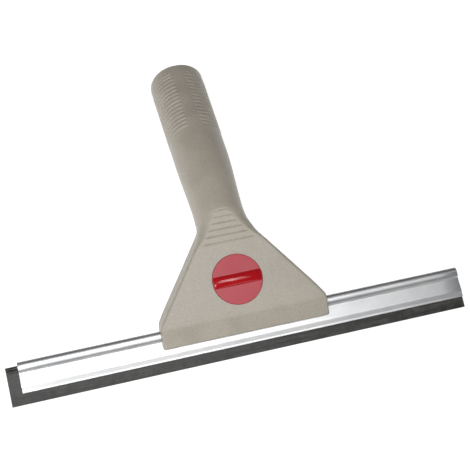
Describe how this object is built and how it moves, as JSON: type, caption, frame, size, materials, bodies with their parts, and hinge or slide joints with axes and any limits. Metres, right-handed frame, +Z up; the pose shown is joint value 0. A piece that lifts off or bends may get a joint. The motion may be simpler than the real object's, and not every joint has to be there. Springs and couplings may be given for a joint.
{
  "type": "window cleaning squeegee",
  "caption": "Window squeegee with a plastic grip and triangular head that clamp an aluminium channel and rubber blade under a quarter-turn lock.",
  "frame": {"origin": "middle of the base of the whole object's box, on the surface it lies on", "axes": "+X along the rubber blade towards its nearly flush end, +Y from the blade towards the grip, +Z up with the lock knob on top, the tool lying on its back"},
  "size_m": [0.3, 0.2166, 0.0486],
  "materials": {
    "grip_plastic": "spark-eroded fine grain",
    "cover_plastic": "spark-eroded fine grain",
    "knob_plastic": "satin disc, glossy bar",
    "natural_plastic": "as moulded",
    "channel_aluminium": "anodised extrusion",
    "blade_rubber": "smooth, slightly dusty",
    "pad_rubber": "matt",
    "screw_steel": "zinc plated",
    "clip_steel": "bright spring steel"
  },
  "bodies": {
    "handle": {"handle_body": "grip_plastic", "back_cover": "cover_plastic", "cover_screw_1": "screw_steel", "cover_screw_2": "screw_steel", "cover_screw_3": "screw_steel", "cover_screw_4": "screw_steel", "cover_screw_5": "screw_steel"},
    "lock": {"lock_knob": "knob_plastic", "knob_seal": "pad_rubber", "lock_cam": "natural_plastic", "cam_washer": "screw_steel", "cam_screw": "screw_steel"},
    "clamp": {"clamp_yoke": "natural_plastic", "clamp_pad": "pad_rubber"},
    "channel": {"channel": "channel_aluminium", "blade_clip_left": "clip_steel", "blade_clip_right": "clip_steel"},
    "blade": {"rubber_blade": "blade_rubber"}
  },
  "joints": [
    {"name": "lock_turn", "type": "hinge", "parent": "handle", "child": "lock", "pos_m": [0.00385, -0.06342, 0.01921], "axis": [0, -0.3798, 0.9251], "range_deg": [0, 90]},
    {"name": "clamp_lift", "type": "slide", "parent": "handle", "child": "clamp", "axis": [0, 0.9251, 0.3798], "range_m": [0, 0.002]},
    {"name": "channel_slide", "type": "slide", "parent": "handle", "child": "channel", "axis": [1, 0, 0], "range_m": [-0.09, 0.09]},
    {"name": "blade_slide", "type": "slide", "parent": "channel", "child": "blade", "axis": [1, 0, 0], "range_m": [-0.02, 0.02]}
  ],
  "couplings": [
    {"joint": "clamp_lift", "follows": "lock_turn", "m_per_rad": 0.0012732}
  ]
}
